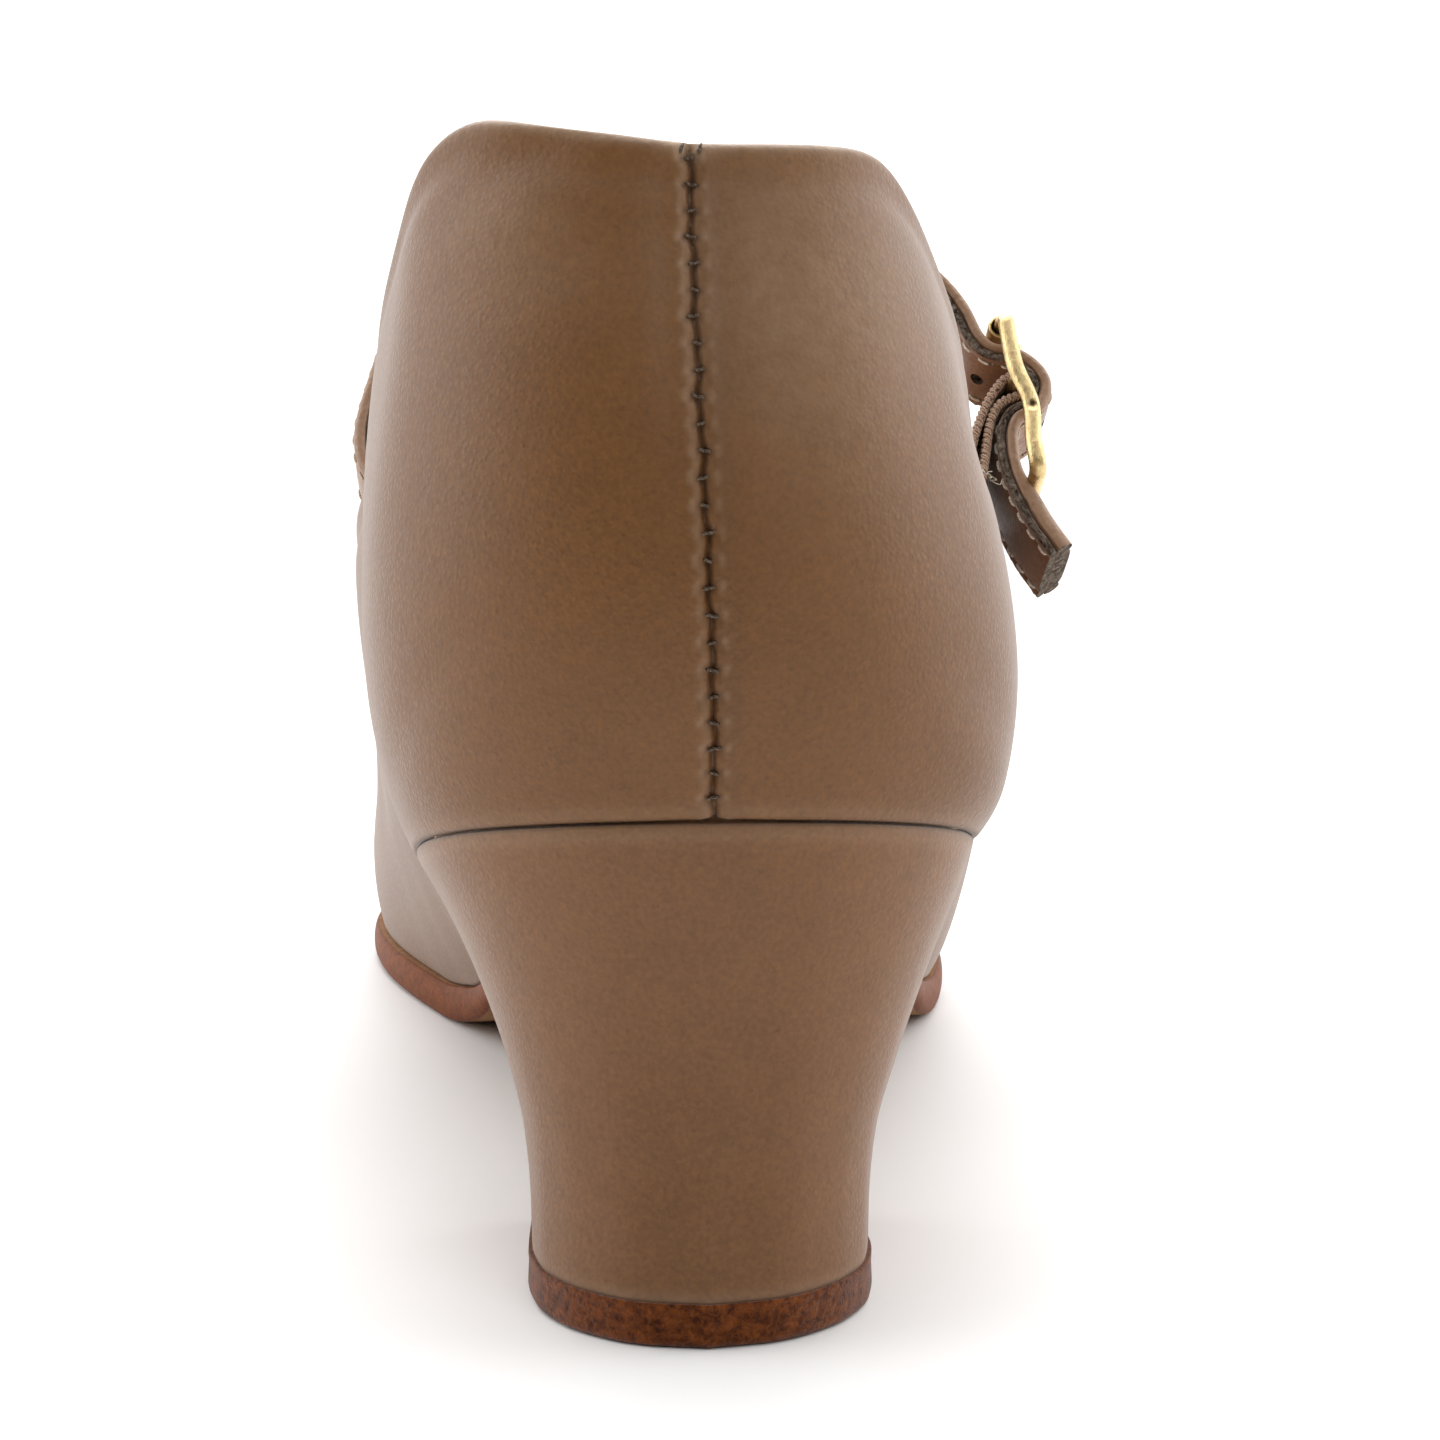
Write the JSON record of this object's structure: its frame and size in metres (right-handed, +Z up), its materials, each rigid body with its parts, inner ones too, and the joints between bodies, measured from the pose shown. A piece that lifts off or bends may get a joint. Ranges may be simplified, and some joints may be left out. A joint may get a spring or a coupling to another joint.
{
  "type": "character shoe",
  "caption": "Right leather character shoe with a low block heel, a round toe, an open collar and throat, and a buckled instep strap.",
  "frame": {"origin": "middle of the top lift's floor face, on the floor", "axes": "+Y along the shoe to the toe, +X to the outer (lateral) side, +Z up"},
  "size_m": [0.0855, 0.24, 0.1067],
  "materials": {
    "upper_leather": "smooth fine-grained tan leather, satin",
    "heel_leather": "smooth tan leather stretched over the heel block",
    "strap_leather": "smooth tan leather with a raw lining edge",
    "sock_leather": "pale tan lining leather, matt",
    "sole_leather": "dyed reddish-brown sole leather",
    "lift_leather": "granular reddish-brown wear piece",
    "elastic": "ribbed tan elastic",
    "gold": "pale gold plated"
  },
  "bodies": {
    "root": {"upper": "upper_leather", "outsole": "sole_leather", "insole": "sock_leather", "heel": "heel_leather", "top_lift": "lift_leather", "strap": "strap_leather", "elastic_loop": "elastic", "buckle_frame": "gold", "buckle_roller": "gold", "buckle_prong": "gold"}
  },
  "joints": []
}
